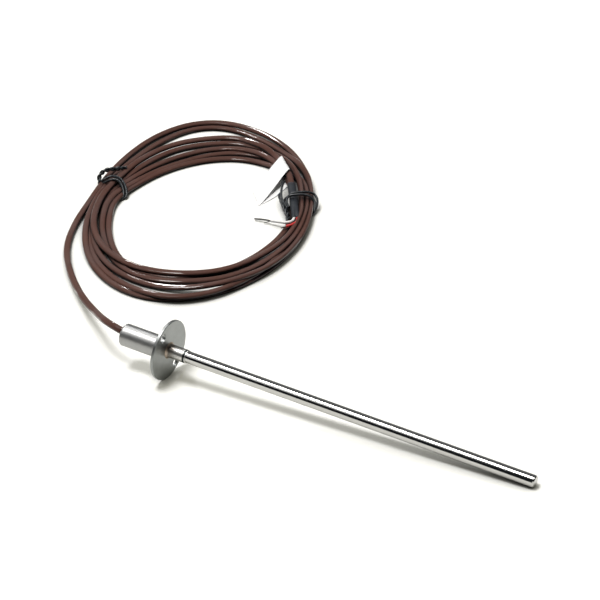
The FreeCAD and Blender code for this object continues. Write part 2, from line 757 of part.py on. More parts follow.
def seat_on_tail(body):
    """Places a body at the cable's tail, its X axis along the tail."""
    across, along, angle = TAIL_FRAME
    seat_on_table(body, across, along, cell("tail_height"), angle)


def tail_point(along, side, up):
    """Gives the table position of a place by the tail, measured along, beside and above it."""
    across, forward = turned(*TAIL_FRAME, f"{along}", f"{side}")
    exit_x = number_of(EXIT_X)
    return Vector(exit_x + number_of(across), number_of(forward), size("tail_height") + up)


def lead_points(route):
    """Gives table positions of points that are listed from the sleeve's mouth."""
    mouth = size("sleeve_start") + size("sleeve_length")
    return [tail_point(mouth + along, side, up) for along, side, up in route]


def make_tail():
    """The last straight stretch of cable, from the coil into the sleeve."""
    body = new_body("cable_tail")
    sketch = new_sketch(body, "section", "YZ_Plane")
    draw_flat_oval(sketch, cell("cable_width"), cell("cable_thickness"))
    pad(body, sketch, cell("tail_length"))
    seat_on_tail(body)
    return body


def make_sleeve():
    """The shrink sleeve over the cable's end."""
    body = new_body("shrink_sleeve")
    sketch = new_sketch(body, "section", "YZ_Plane", cell("sleeve_start"))
    draw_flat_oval(sketch, SLEEVE_WIDTH, SLEEVE_THICKNESS)
    draw_flat_oval(sketch, SLEEVE_INNER_WIDTH, SLEEVE_INNER_THICKNESS)
    pad(body, sketch, cell("sleeve_length"))
    seat_on_tail(body)
    return body


def make_lead_end(label, side, route):
    """A round lead that leaves the sleeve and bends on over the table."""
    beside = side * size("wire_pitch") / 2
    mouth = lead_points([(0, beside, 0)])[0]
    start = tail_point(size("tail_length"), beside, 0)
    forward = mouth - start
    wire, radii = rounded_wire([start, mouth] + lead_points(route))
    circle = Part.Circle(start, forward, size("lead_diameter") / 2)
    sweep = Part.BRepOffsetAPI.MakePipeShell(wire)
    sweep.add(Part.Wire([circle.toShape()]), False, False)
    sweep.build()
    sweep.makeSolid()
    print(label, "bend radii", [round(radius, 1) for radius in radii])
    return add_shape(label, sweep.shape())


def make_wire_end(label, route, length):
    """The bare end of a lead's conductor, in line with the lead's last run."""
    before, start = lead_points(route[-2:])
    wire = doc.addObject("Part::Cylinder", label)
    wire.Label = label
    wire.setExpression("Radius", f"{cell('conductor_diameter')} / 2")
    wire.setExpression("Height", length)
    wire.Placement = Placement(start, Rotation(Vector(0, 0, 1), start - before))
    return wire


def make_flag():
    """A bent paper strip: flat on the coil, then sloping to the table."""
    body = new_body("marker_flag")
    sketch = new_sketch(body, "profile", "YZ_Plane")
    flat = f"-{cell('flag_flat')}"
    reach = f"-{cell('flag_reach')}"
    paper = cell("flag_thickness")
    height = cell("coil_height")
    draw_polygon(sketch, [
        ("0", height),
        (flat, height),
        (reach, cell("flag_lift")),
        (reach, f"{paper} + {cell('flag_lift')}"),
        (flat, f"{height} + {paper}"),
        ("0", f"{height} + {paper}"),
    ])
    raised = pad(body, sketch, cell("flag_width"))
    raised.UseCustomVector = True
    raised.setExpression("Direction.x", cell("flag_width"))
    raised.setExpression("Direction.y", cell("flag_skew"))
    raised.Direction = Vector(size("flag_width"), size("flag_skew"), 0)
    raised.AlongSketchNormal = True
    across, along = opening_place(cell("flag_station"))
    seat_on_table(body, across, f"{along} + {cell('flag_lap')}", "0", "0")
    return body


def make_tie(label, seat, span, tail_across, tail_up):
    """A two-strand loop round the bundle and its twisted end."""
    body = new_body(label)
    sketch = new_sketch(body, "loop", "XZ_Plane")
    wire = cell("tie_wire")
    half = f"{span} / 2"
    top = cell("coil_height")
    for inset, low, high in ((wire, "0", f"{top} + {wire}"), ("0", wire, top)):
        draw_polygon(sketch, [
            (f"-({half} + {inset})", low),
            (f"{half} + {inset}", low),
            (f"{half} + {inset}", high),
            (f"-({half} + {inset})", high),
        ])
    pad(body, sketch, TIE_WIDTH, midplane=True)
    doc.recompute()
    rounding = body.newObject("PartDesign::Fillet", f"{label}_rounded")
    corners = []
    reach = number_of(span) / 2 + size("tie_wire")
    for index, edge in enumerate(body.Shape.Edges, start=1):
        across = abs(edge.CenterOfMass.x)
        if edge.BoundBox.XLength < 1e-6 and edge.BoundBox.ZLength < 1e-6:
            if abs(across - reach) < 1e-4:
                corners.append(f"Edge{index}")
    rounding.Base = (doc.getObject(f"{label}_loop_raised"), corners)
    rounding.setExpression("Radius", cell("tie_corner"))
    body.Tip = rounding
    twist = new_sketch(body, "twist", "XZ_Plane")
    draw_circle(twist, tail_across, tail_up, cell("tie_tail_diameter"))
    pad(body, twist, cell("tie_tail_length"))
    across, along, angle = seat
    seat_on_table(body, across, along, "0", angle)
    return body


def make_all():
    """Makes every piece and gives the list of those that are kept."""
    probe = [
        make_sheath(),
        make_collar(),
        make_flange(),
        make_housing(),
        make_insulator(),
        make_bead(),
        make_potting(),
    ]
    barrel_bore = f"{cell('conductor_diameter')} + 2 * {cell('fit_clearance')}"
    for sign, colour, side in (("positive", "white", -1), ("negative", "red", 1)):
        probe.append(straight_wire(
            f"{sign}_element", side, SPLICE_MIDDLE, BEAD_BACK, cell("element_diameter")))
        probe.append(straight_wire(
            f"{sign}_splice", side, SPLICE_BACK, SPLICE_FRONT, cell("splice_diameter"),
            barrel_bore))
        probe.append(straight_wire(
            f"{sign}_conductor", side, JACKET_FRONT, SPLICE_MIDDLE, cell("conductor_diameter")))
        probe.append(straight_wire(
            f"{colour}_lead", side, JACKET_FRONT, LEAD_FRONT, cell("lead_diameter"),
            barrel_bore))
    for body in probe:
        seat_on_probe(body)
    left_span = cell("left_tie_span")
    right_span = cell("right_tie_span")
    tail_radius = f"{cell('tie_tail_diameter')} / 2"
    cord = [
        make_cable_lead(),
        make_coil(),
        make_tail(),
        make_sleeve(),
        make_lead_end("white_lead_end", -1, WHITE_ROUTE),
        make_lead_end("red_lead_end", 1, RED_ROUTE),
        make_wire_end("white_conductor_end", WHITE_ROUTE, cell("white_wire_length")),
        make_wire_end("red_conductor_end", RED_ROUTE, cell("red_wire_length")),
        make_flag(),
        make_tie("left_tie", LEFT_TIE_FRAME, left_span, f"{left_span} / 3",
                 f"{cell('coil_height')} + {tail_radius}"),
        make_tie("right_tie", RIGHT_TIE_FRAME, right_span,
                 f"-({right_span} / 2 + {cell('tie_wire')} / 2)", cell("tail_height")),
    ]
    return probe + cord


def export(pieces):
    """Checks every object and shape, then writes one file for each piece."""
    doc.recompute()
    for item in doc.Objects:
        if "Invalid" in item.State or "Error" in item.State:
            raise RuntimeError(f"{item.Name} failed: {item.State}")
    os.makedirs("parts", exist_ok=True)
    for piece in pieces:
        shape = piece.Shape
        if shape.isNull() or not shape.isValid() or len(shape.Solids) != 1:
            raise RuntimeError(f"{piece.Label} has no single valid solid")
        shape.exportStep(f"parts/{piece.Label}.step")
        box = shape.BoundBox
        low = [round(value, 2) for value in (box.XMin, box.YMin, box.ZMin)]
        high = [round(value, 2) for value in (box.XMax, box.YMax, box.ZMax)]
        print(piece.Label, low, high, "volume", round(shape.Volume, 2))


export(make_all())
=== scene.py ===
import math
from collections import namedtuple

import bmesh
import bpy
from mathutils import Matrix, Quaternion, Vector, noise


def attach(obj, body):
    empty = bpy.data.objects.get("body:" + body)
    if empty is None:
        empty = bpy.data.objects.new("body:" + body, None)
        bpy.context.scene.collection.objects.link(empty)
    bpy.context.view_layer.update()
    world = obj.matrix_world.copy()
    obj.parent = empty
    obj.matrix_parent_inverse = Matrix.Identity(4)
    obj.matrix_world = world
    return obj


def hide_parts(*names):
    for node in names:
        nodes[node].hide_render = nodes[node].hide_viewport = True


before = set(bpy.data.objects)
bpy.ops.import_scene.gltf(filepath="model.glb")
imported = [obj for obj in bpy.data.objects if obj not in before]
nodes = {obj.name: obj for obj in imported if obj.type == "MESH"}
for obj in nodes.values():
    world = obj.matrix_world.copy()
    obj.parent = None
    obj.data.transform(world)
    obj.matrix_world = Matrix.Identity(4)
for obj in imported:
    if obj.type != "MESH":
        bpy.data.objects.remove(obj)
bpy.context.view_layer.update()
scene = bpy.context.scene

MM = 0.001
UP = Vector((0.0, 0.0, 1.0))
# The side that the camera stands on, and the way to the right in its picture.
FRONT = Vector((0.4876, -0.8731, 0.0))
RIGHT = Vector((0.8731, 0.4876, 0.0))

# The probe's rest pose and the cable's section, as in the part's own sheet, in millimetres.
TILT = math.atan2(12.7, 202.8)
ALONG_PROBE = (0.0, TILT, 0.0)
FLANGE_FACE = Vector((-87.854, 0.0, 15.8315))
PROBE_AXIS = Vector((math.cos(TILT), 0.0, -math.sin(TILT)))
CABLE_EXIT = Vector((-114.801, 0.0, 17.519))
CABLE_WIDTH = 3.8
CABLE_HEIGHT = 2.3

# The coil's outline and its opening; the turn of the long axis is in degrees.
Oval = namedtuple("Oval", "middle turn half_long half_wide")
OUTLINE = Oval(Vector((-170.75, 163.7)), 113.1, 110.2, 64.2)
OPENING = Oval(Vector((-162.95, 156.8)), 101.1, 70.7, 50.9)
COIL_JOIN = Vector((-228.05, 139.26))

# The cable's tail, which the sleeve covers.
TAIL_ANGLE = math.radians(-57.1)
TAIL_START = Vector((-137.258, 212.786, 4.2))
TAIL_WAY = Vector((math.cos(TAIL_ANGLE), math.sin(TAIL_ANGLE), 0.0))
TAIL_SIDE = Vector((-TAIL_WAY.y, TAIL_WAY.x, 0.0))

# How far, in metres, the painted shade in the grooves of the coil and on the floor under the part
# looks for what shades it, and with how many rays.
GROOVE_REACH = 0.008
FLOOR_REACH = 0.012
SHADE_RAYS = 8


class Paint:
    """A shader socket: plain arithmetic on it adds Math nodes, and node() adds any other node."""

    def __init__(self, tree, socket=None):
        self.tree = tree
        self.socket = socket

    def node(self, kind, settings=None, sockets=None, output=0):
        made = self.tree.nodes.new(kind)
        for name, value in (settings or {}).items():
            setattr(made, name, value)
        for name, value in (sockets or {}).items():
            if isinstance(value, Paint):
                self.tree.links.new(value.socket, made.inputs[name])
            else:
                made.inputs[name].default_value = value
        return Paint(self.tree, made.outputs[output] if made.outputs else None)

    def maths(self, operation, *values):
        return self.node("ShaderNodeMath", {"operation": operation}, dict(enumerate(values)))

    def __add__(self, other):
        return self.maths("ADD", self, other)

    def __radd__(self, other):
        return self.maths("ADD", other, self)

    def __mul__(self, other):
        return self.maths("MULTIPLY", self, other)

    def __rmul__(self, other):
        return self.maths("MULTIPLY", other, self)

    def place(self):
        return self.node("ShaderNodeTexCoord", output="Object")

    def clamp(self, low, high):
        """0 at low and 1 at high, straight between them and level beyond them."""
        return self.node("ShaderNodeMapRange", {"clamp": True},
                         {"Value": self, "From Min": low, "From Max": high})

    def stretched(self, scale, turn):
        return self.node("ShaderNodeMapping", None,
                         {"Vector": self.place(), "Scale": scale, "Rotation": turn})

    def grain(self, where, scale, detail):
        return self.node("ShaderNodeTexNoise", None,
                         {"Vector": where, "Scale": scale, "Detail": detail})

    def openness(self, reach):
        """1 where a surface lies free, less where something stands close to it."""
        return self.node("ShaderNodeAmbientOcclusion", {"samples": SHADE_RAYS},
                         {"Distance": reach}, output="AO")

    def mix(self, share, first, second):
        """A colour between two, each of which is a socket or red, green and blue."""
        first, second = (colour if isinstance(colour, Paint) else (*colour, 1.0)
                         for colour in (first, second))
        return self.node("ShaderNodeMix", {"data_type": "RGBA"}, {0: share, 6: first, 7: second},
                         output=2)

    def bump(self, height, strength, depth):
        return self.node("ShaderNodeBump", None,
                         {"Height": height, "Strength": strength, "Distance": depth})

    def shader(self, **sockets):
        named = {name.replace("_", " "): value for name, value in sockets.items()}
        return self.node("ShaderNodeBsdfPrincipled", None, named)


def finish(name, look):
    """A material whose surface is the shader that look() returns."""
    material = bpy.data.materials.new(name)
    material.use_nodes = True
    material.node_tree.nodes.clear()
    paint = Paint(material.node_tree)
    paint.node("ShaderNodeOutputMaterial", None, {"Surface": look(paint)})
    return material


def polished_tube(paint):
    """Mirror polish with fine lines along the tube and faint smears."""
    lines = paint.grain(paint.stretched((60, 5000, 5000), ALONG_PROBE), scale=1.0, detail=3.0)
    smears = paint.grain(paint.place(), scale=140.0, detail=3.0)
    return paint.shader(
        Base_Color=paint.mix(smears, (0.45, 0.445, 0.43), (0.53, 0.525, 0.51)),
        Metallic=1.0,
        Roughness=0.06 + 0.06 * smears + 0.05 * lines,
        Normal=paint.bump(lines, strength=0.04, depth=0.00002),
    )


def turned_steel(paint):
    """Satin steel with the fine rings of the lathe tool."""
    rings = paint.grain(paint.stretched((9000, 90, 90), ALONG_PROBE), scale=1.0, detail=2.0)
    cloud = paint.grain(paint.place(), scale=220.0, detail=3.0)
    return paint.shader(
        Base_Color=paint.mix(cloud, (0.29, 0.29, 0.285), (0.38, 0.38, 0.375)),
        Metallic=1.0,
        Roughness=0.30 + 0.12 * rings + 0.10 * cloud,
        Normal=paint.bump(rings, strength=0.10, depth=0.00002),
    )


def ground_plate(paint):
    """Dull plate with grinding scratches across its face."""
    scratches = paint.grain(paint.stretched((3000, 3000, 180), (0.4, TILT, 0.0)),
                            scale=1.0, detail=3.0)
    cloud = paint.grain(paint.place(), scale=260.0, detail=4.0)
    return paint.shader(
        Base_Color=paint.mix(cloud, (0.23, 0.24, 0.235), (0.31, 0.32, 0.315)),
        Metallic=1.0,
        Roughness=0.30 + 0.10 * scratches + 0.08 * cloud,
        Normal=paint.bump(scratches, strength=0.08, depth=0.00003),
    )


def welded_collar(paint):
    """Bright sleeve, scalded brown at its weld, with a painted shade band near its front end,
    where its step lies in shadow.
    """
    along = paint.node("ShaderNodeSeparateXYZ", None,
                       {"Vector": paint.stretched((1000, 1000, 1000), (0.0, -TILT, 0.0))})
    specks = paint.grain(paint.place(), scale=900.0, detail=3.0)
    scald = (along + 3.0 * specks).clamp(-82.5, -88.0)
    # Painted shade: a near-black ring standing in for the shadow at the collar's front step.
    painted_gap_shade = along.clamp(-79.5, -79.2) * along.clamp(-78.0, -78.3)
    clean = paint.mix(specks, (0.52, 0.51, 0.49), (0.66, 0.65, 0.62))
    scalded = paint.mix(scald, clean, (0.30, 0.22, 0.15))
    return paint.shader(
        Base_Color=paint.mix(painted_gap_shade, scalded, (0.03, 0.035, 0.035)),
        Metallic=1.0,
        Roughness=0.28 + 0.14 * specks + 0.12 * scald,
        Normal=paint.bump(specks, strength=0.15, depth=0.00005),
    )


def brown_jacket(paint):
    """Brown plastic, glossy in places, with painted shade: near black, with a thinner coat, in the
    grooves between the turns.
    """
    cloud = paint.grain(paint.place(), scale=60.0, detail=3.0)
    skin = paint.grain(paint.place(), scale=900.0, detail=2.0)
    gloss = paint.grain(paint.stretched((1, 1, 1), (0.3, 0.2, 0.5)),
                        scale=48.0, detail=1.0).clamp(0.43, 0.56)
    # Painted shade: an occlusion node measures how free the surface lies, and grooves get a
    # near-black colour and less coat.
    free = paint.openness(GROOVE_REACH).clamp(0.36, 0.92)
    plain = paint.mix(cloud, (0.078, 0.035, 0.026), (0.128, 0.063, 0.050))
    return paint.shader(
        Base_Color=paint.mix(free, (0.010, 0.008, 0.008), plain),
        Roughness=0.35 + 0.10 * skin,
        Specular_IOR_Level=0.05,
        Coat_Weight=free * (0.12 + 0.88 * gloss),
        Coat_Roughness=0.05,
        Normal=paint.bump(skin, strength=0.05, depth=0.00005),
    )


def shrunk_sleeve(paint):
    """Blue-black sleeve plastic with a finely pebbled skin."""
    cloud = paint.grain(paint.place(), scale=350.0, detail=3.0)
    skin = paint.grain(paint.place(), scale=2600.0, detail=2.0)
    return paint.shader(
        Base_Color=paint.mix(cloud, (0.010, 0.012, 0.016), (0.034, 0.040, 0.048)),
        Roughness=0.40 + 0.20 * skin,
        Specular_IOR_Level=0.25,
        Normal=paint.bump(skin, strength=0.18, depth=0.00005),
    )


def black_tie(paint):
    cloud = paint.grain(paint.place(), scale=700.0, detail=3.0)
    return paint.shader(
        Base_Color=paint.mix(cloud, (0.006, 0.008, 0.010), (0.020, 0.025, 0.030)),
        Roughness=0.28 + 0.20 * cloud,
        Normal=paint.bump(cloud, strength=0.12, depth=0.00006),
    )


def label_paper(paint):
    fibre = paint.grain(paint.place(), scale=1500.0, detail=4.0)
    return paint.shader(
        Base_Color=paint.mix(fibre, (0.92, 0.92, 0.91), (0.97, 0.97, 0.96)),
        Roughness=0.55 + 0.15 * fibre,
        Normal=paint.bump(fibre, strength=0.10, depth=0.00004),
    )


def plastic_lead(pale, deep):
    """Smooth wire insulation, clouded between two colours."""
    def look(paint):
        cloud = paint.grain(paint.place(), scale=500.0, detail=3.0)
        return paint.shader(
            Base_Color=paint.mix(cloud, deep, pale),
            Roughness=0.32 + 0.16 * cloud,
            Normal=paint.bump(cloud, strength=0.06, depth=0.00005),
        )
    return look


def drawn_wire(pale, deep):
    """Bare metal wire, streaked between two colours."""
    def look(paint):
        lines = paint.grain(paint.place(), scale=2400.0, detail=2.0)
        return paint.shader(
            Base_Color=paint.mix(lines, deep, pale),
            Metallic=1.0,
            Roughness=0.28 + 0.18 * lines,
            Normal=paint.bump(lines, strength=0.08, depth=0.00002),
        )
    return look


def fired_ceramic(paint):
    pores = paint.grain(paint.place(), scale=3200.0, detail=4.0)
    return paint.shader(
        Base_Color=paint.mix(pores, (0.72, 0.69, 0.61), (0.86, 0.84, 0.77)),
        Roughness=0.62 + 0.20 * pores,
        Normal=paint.bump(pores, strength=0.20, depth=0.00003),
    )


def potting_resin(paint):
    specks = paint.grain(paint.place(), scale=1800.0, detail=4.0)
    return paint.shader(
        Base_Color=paint.mix(specks, (0.030, 0.028, 0.026), (0.075, 0.070, 0.062)),
        Roughness=0.45 + 0.22 * specks,
        Normal=paint.bump(specks, strength=0.25, depth=0.00006),
    )


JACKET = finish("brown_jacket", brown_jacket)
SLEEVE = finish("shrunk_sleeve", shrunk_sleeve)
TIE = finish("black_tie", black_tie)
PAPER = finish("label_paper", label_paper)
WHITE = finish("white_insulation", plastic_lead((0.93, 0.92, 0.90), (0.84, 0.83, 0.81)))
RED = finish("red_insulation", plastic_lead((0.78, 0.06, 0.055), (0.58, 0.035, 0.035)))
BARE = finish("bare_wire", drawn_wire((0.62, 0.60, 0.56), (0.40, 0.38, 0.35)))
STRANDS = finish("loose_strands", drawn_wire((0.20, 0.195, 0.185), (0.02, 0.02, 0.02)))
ELEMENT = finish("element_wire", drawn_wire((0.56, 0.54, 0.50), (0.40, 0.38, 0.36)))
SPLICE = finish("splice_metal", drawn_wire((0.74, 0.60, 0.34), (0.55, 0.42, 0.22)))
NODE_FINISHES = {
    "sheath": finish("polished_tube", polished_tube),
    "housing": finish("turned_steel", turned_steel),
    "flange": finish("ground_plate", ground_plate),
    "collar": finish("welded_collar", welded_collar),
    "insulator": finish("fired_ceramic", fired_ceramic),
    "potting": finish("potting_resin", potting_resin),
    "junction_bead": ELEMENT,
    "positive_element": ELEMENT,
    "negative_element": ELEMENT,
    "positive_splice": SPLICE,
    "negative_splice": SPLICE,
    "positive_conductor": BARE,
    "negative_conductor": BARE,
    "white_lead": WHITE,
    "red_lead": RED,
    "white_lead_end": WHITE,
    "red_lead_end": RED,
    "red_conductor_end": BARE,
}
for node, material in NODE_FINISHES.items():
    nodes[node].data.materials.clear()
    nodes[node].data.materials.append(material)


# The camera, which looks down at the part from the front.
CAMERA_PLACE = Vector((475.28, -873.14, 642.39))
CAMERA_DIP = math.radians(29.94)
LOOK_WAY = Vector((-0.48761 * math.cos(CAMERA_DIP), 0.87306 * math.cos(CAMERA_DIP),
                   -math.sin(CAMERA_DIP)))
camera = bpy.data.objects.new("camera", bpy.data.cameras.new("camera"))
camera.data.sensor_width = 36.0
camera.data.lens = 144.0
camera.location = CAMERA_PLACE * MM
camera.rotation_euler = LOOK_WAY.to_track_quat("-Z", "Y").to_euler()
scene.collection.objects.link(camera)
scene.camera = camera
scene.view_settings.view_transform = "Standard"

# What the lamps point at, between the probe and the coil.
MIDDLE = Vector((-0.10, 0.10, 0.0))


def lamp(name, place, size, power, colour):
    light = bpy.data.lights.new(name, "AREA")
    light.shape = "DISK"
    light.size = size
    light.energy = power
    light.color = colour
    holder = bpy.data.objects.new(name, light)
    holder.location = place
    holder.rotation_euler = (MIDDLE - Vector(place)).to_track_quat("-Z", "Y").to_euler()
    scene.collection.objects.link(holder)


lamp("overhead_light", (-0.692, -0.331, 2.909), size=1.1, power=84.0, colour=(1.0, 0.99, 0.97))
lamp("front_light", (-1.36, -1.393, 2.277), size=1.5, power=6.5, colour=(1.0, 1.0, 1.0))
lamp("back_light", (-1.675, 1.593, 2.071), size=0.25, power=17.0, colour=(1.0, 1.0, 1.0))


def studio(tree):
    """Soft grey surroundings that darken towards the side the camera stands on."""
    paint = Paint(tree)
    way = paint.node("ShaderNodeTexCoord", output="Generated")
    back = paint.node("ShaderNodeVectorMath", {"operation": "DOT_PRODUCT"}, {0: way, 1: -FRONT},
                      output="Value")
    colour = paint.mix(back.clamp(-0.35, 0.75), (0.010, 0.012, 0.014), (0.19, 0.195, 0.20))
    light = paint.node("ShaderNodeBackground", None, {"Color": colour, "Strength": 1.0})
    paint.node("ShaderNodeOutputWorld", None, {"Surface": light})


world = bpy.data.worlds.new("studio")
world.use_nodes = True
world.node_tree.nodes.clear()
studio(world.node_tree)
scene.world = world


def pale_floor(paint):
    """A pale grey table that the eye and the metal see lifted to white, with painted shade near
    the part, where its colour goes dark and the lift fades.
    """
    cloud = paint.grain(paint.place(), scale=3.0, detail=2.0)
    eye = paint.node("ShaderNodeLightPath", output="Is Camera Ray")
    gloss = paint.node("ShaderNodeLightPath", output="Is Glossy Ray")
    glass = paint.node("ShaderNodeLightPath", output="Is Transmission Ray")
    seen = eye.maths("MAXIMUM", eye, eye.maths("MAXIMUM", gloss, glass))
    # Painted shade: near the part an occlusion node takes the floor's colour towards near black
    # and its lift away; the lift's cream tint tints this shade.
    clear = seen * paint.openness(FLOOR_REACH).clamp(0.10, 0.85)
    lift = paint.mix(clear * clear, (0.0, 0.0, 0.0), (0.30, 0.293, 0.24))
    table = paint.mix(cloud, (0.80, 0.80, 0.80), (0.83, 0.83, 0.83))
    return paint.shader(
        Base_Color=paint.mix(clear, (0.05, 0.05, 0.05), table),
        Roughness=0.75 + 0.10 * cloud,
        Specular_IOR_Level=0.1,
        Emission_Color=lift,
        Emission_Strength=1.0,
    )


def make_floor():
    half = 4.0
    corners = [(-half, -half, 0), (half, -half, 0), (half, half, 0), (-half, half, 0)]
    mesh = bpy.data.meshes.new("floor")
    mesh.from_pydata(corners, [], [(0, 1, 2, 3)])
    floor = bpy.data.objects.new("floor", mesh)
    mesh.materials.append(finish("pale_floor", pale_floor))
    scene.collection.objects.link(floor)


make_floor()


def dress(piece, material, slot, *hidden):
    """Gives a piece its finish, lets it ride with the part, and lets it stand for hidden nodes."""
    piece.data.materials.append(material)
    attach(piece, "root")
    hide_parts(*hidden)


def bent_line(name, lines, steps):
    """A curve object with one smooth spline through the control points of each line."""
    curve = bpy.data.curves.new(name, "CURVE")
    curve.dimensions = "3D"
    curve.resolution_u = steps
    for points in lines:
        spline = curve.splines.new("NURBS")
        spline.points.add(len(points) - 1)
        for knot, point in zip(spline.points, points):
            knot.co = (point[0] * MM, point[1] * MM, point[2] * MM, 1.0)
        spline.order_u = 3
        spline.use_endpoint_u = True
    piece = bpy.data.objects.new(name, curve)
    scene.collection.objects.link(piece)
    return piece


def round_wire(name, lines, radius, steps):
    piece = bent_line(name, lines, steps)
    piece.data.bevel_depth = radius * MM
    piece.data.bevel_resolution = 4
    piece.data.use_fill_caps = True
    return piece


def read_line(points, steps=10):
    """The points of the smooth spline that has these control points, in millimetres."""
    piece = bent_line("guide", [points], steps)
    mesh = bpy.data.meshes.new_from_object(piece)
    line = [vertex.co / MM for vertex in mesh.vertices]
    bpy.data.objects.remove(piece)
    bpy.data.meshes.remove(mesh)
    return line


def twisted(points, radius, pitch, strands):
    """The lines of strands that are twisted round the spline of the control points."""
    line = read_line(points)
    ways = [(line[min(i + 1, len(line) - 1)] - line[max(i - 1, 0)]).normalized()
            for i in range(len(line))]
    side = ways[0].orthogonal().normalized()
    lines = [[] for _ in range(strands)]
    gone = 0.0
    for index, (point, way) in enumerate(zip(line, ways)):
        if index:
            gone += (point - line[index - 1]).length
        side = (side - way * side.dot(way)).normalized()
        for strand in range(strands):
            angle = 2 * math.pi * (gone / pitch + strand / strands)
            lines[strand].append(point + Quaternion(way, angle) @ side * radius)
    return lines


# The cable is one line: the lead from the housing, the coil's turns and the tail. The lead starts
# inside the housing and rises a little behind it; both are measured from the flange's face.
LEAD_START = -21.1
LEAD_BEND = -31.5
LEAD_RISE = 2.0
# Then shares of the way to the coil, across and along, and of the height of the exit.
LEAD_ROUTE = [
    (0.128, 0.0294, 1.110),
    (0.243, 0.109, 0.830),
    (0.437, 0.247, 0.435),
    (0.656, 0.428, 0.150),
    (0.828, 0.605, 0.028),
    (0.936, 0.794, 0.010),
    (1.0, 1.0, 0.089),
]
FLOOR_ROW = CABLE_HEIGHT / 2
# Round the coil from the left tie: degrees gone, then for each turn its share of the way from
# the opening to the outline, and its height.
COIL_STATIONS = [
    (0, (0.88, 0.67, 0.50, 0.18, 0.30, 0.60, 0.53), (2.6, 2.7, 2.4, 2.5, 4.6, 2.2, 4.75)),
    (12, (0.83, 0.70, 0.20, 0.0, 0.06, 0.36, 0.49), (2.2, 1.6, 2.6, 1.5, 1.8, 2.1, 4.3)),
    (21, (0.86, 0.71, 0.22, 0.02, 0.09, 0.41, 0.55), (1.8, 1.6, 2.1, 1.5, 1.8, 1.7, 3.5)),
    (30, (0.93, 0.75, 0.28, 0.01, 0.08, 0.47, 0.58), (1.5, 1.5, 1.6, 1.5, 1.8, 1.8, 3.3)),
    (45, (0.98, 0.82, 0.27, 0.01, 0.09, 0.48, 0.56), (1.6, 1.5, 1.5, 1.5, 1.6, 1.5, 3.5)),
    (60, (0.97, 0.89, 0.25, 0.02, 0.14, 0.44, 0.51), (2.9, 1.5, 2.6, 1.5, 1.5, 1.5, 3.5)),
    (75, (0.95, 0.89, 0.24, 0.04, 0.19, 0.46, 0.53), (3.5, 1.5, 3.4, 1.5, 1.5, 1.5, 3.5)),
    (90, (0.87, 0.79, 0.23, 0.05, 0.19, 0.45, 0.49), (3.5, 1.5, 3.3, 1.5, 1.5, 1.5, 3.6)),
    (99, (0.82, 0.68, 0.22, 0.06, 0.225, 0.42, 0.43), (3.5, 1.5, 3.2, 1.5, 1.5, 1.6, 3.8)),
    (112, (0.81, 0.60, 0.10, 0.13, 0.31, 0.40), (3.0, 1.7, 3.6, 1.3, 1.3, 2.9)),
    (126, (0.90, 0.64, -0.02, 0.24, 0.40, 0.40), (1.9, 2.8, 1.7, 2.0, 1.3, 4.0)),
    (147, (0.85, 0.88, -0.22, 0.56, 0.38, 0.22), (1.7, 4.0, 1.2, 4.2, 1.4, 4.5)),
    (158, (0.90, 0.93, -0.25, 0.62, 0.42, 0.30), (2.0, 4.3, 1.2, 4.3, 2.0, 4.3)),
    (168, (0.98, 1.02, -0.10, 0.76, 0.60, 0.47), (1.8, 4.1, 1.2, 4.1, 1.8, 4.1)),
    (181, (1.05, 1.12, -0.05, 0.88, 0.76, 0.58), (1.4, 3.6, 1.3, 3.5, 1.4, 3.5)),
    (196, (1.0, 1.10, 0.03, 0.80, 0.84, 0.46), (1.4, 3.5, 1.4, 3.0, 1.4, 3.4)),
    (207, (0.97, 1.03, 0.09, 0.65, 0.86, 0.31), (1.4, 4.0, 1.5, 2.2, 1.9, 3.4)),
    (218, (0.95, 0.95, 0.13, 0.53, 0.85, 0.25), (1.5, 5.2, 1.5, 1.6, 3.0, 3.4)),
    (228, (0.90, 0.84, 0.14, 0.43, 0.92, 0.21), (1.5, 5.4, 1.5, 1.6, 3.7, 3.4)),
    (238, (0.86, 0.71, 0.12, 0.32, 0.94, 0.12), (1.5, 4.2, 1.5, 1.6, 3.9, 3.4)),
    (254, (0.88, 0.54, 0.12, 0.27, 0.95, 0.09), (1.5, 2.2, 1.5, 1.6, 3.9, 3.5)),
    (268, (0.92, 0.48, 0.15, 0.28, 0.94, 0.09), (1.5, 1.6, 1.5, 1.5, 3.8, 3.7)),
    (280, (0.95, 0.46, 0.15, 0.29, 0.84, 0.14), (1.5, 1.6, 1.5, 1.5, 3.2, 3.7)),
    (290, (0.97, 0.47, 0.10, 0.26, 0.76, 0.17), (1.5, 1.6, 1.5, 1.5, 2.2, 3.7)),
    (300, (1.0, 0.49, 0.03, 0.21, 0.78, 0.24), (1.5, 1.6, 1.5, 1.5, 1.5, 3.8)),
    (310, (1.01, 0.52, -0.03, 0.17, 0.78, 0.34), (1.5, 1.6, 1.5, 1.5, 1.5, 3.8)),
    (322, (0.97, 0.58, -0.04, 0.17, 0.76, 0.45), (1.5, 1.6, 1.5, 1.5, 1.5, 3.8)),
    (334, (0.84, 0.58, 0.03, 0.25, 0.71, 0.56), (2.8, 1.6, 1.5, 1.8, 1.5, 3.8)),
    (345, (0.73, 0.55, 0.14, 0.33, 0.66, 0.58), (3.4, 2.0, 1.9, 2.8, 1.6, 4.2)),
]
# The last turn's way under the label and into the sleeve.
TAIL_ROUTE = [
    (-177.4, 246.2, 3.7),
    (-169.6, 242.6, 3.9),
    (-161.5, 236.8, 4.2),
    (-153.0, 230.2, 4.2),
    (-144.6, 222.2, 4.2),
    (-137.8, 213.8, 4.2),
    (-129.7, 201.0, 4.2),
    (-123.7, 191.8, 4.2),
    (-117.7, 182.6, 4.2),
]
TURNS = 7
TURN_POINTS = 20
LEFT_TIE_ANGLE = 81.0
TAIL_TURN = 6 * 360 + 99

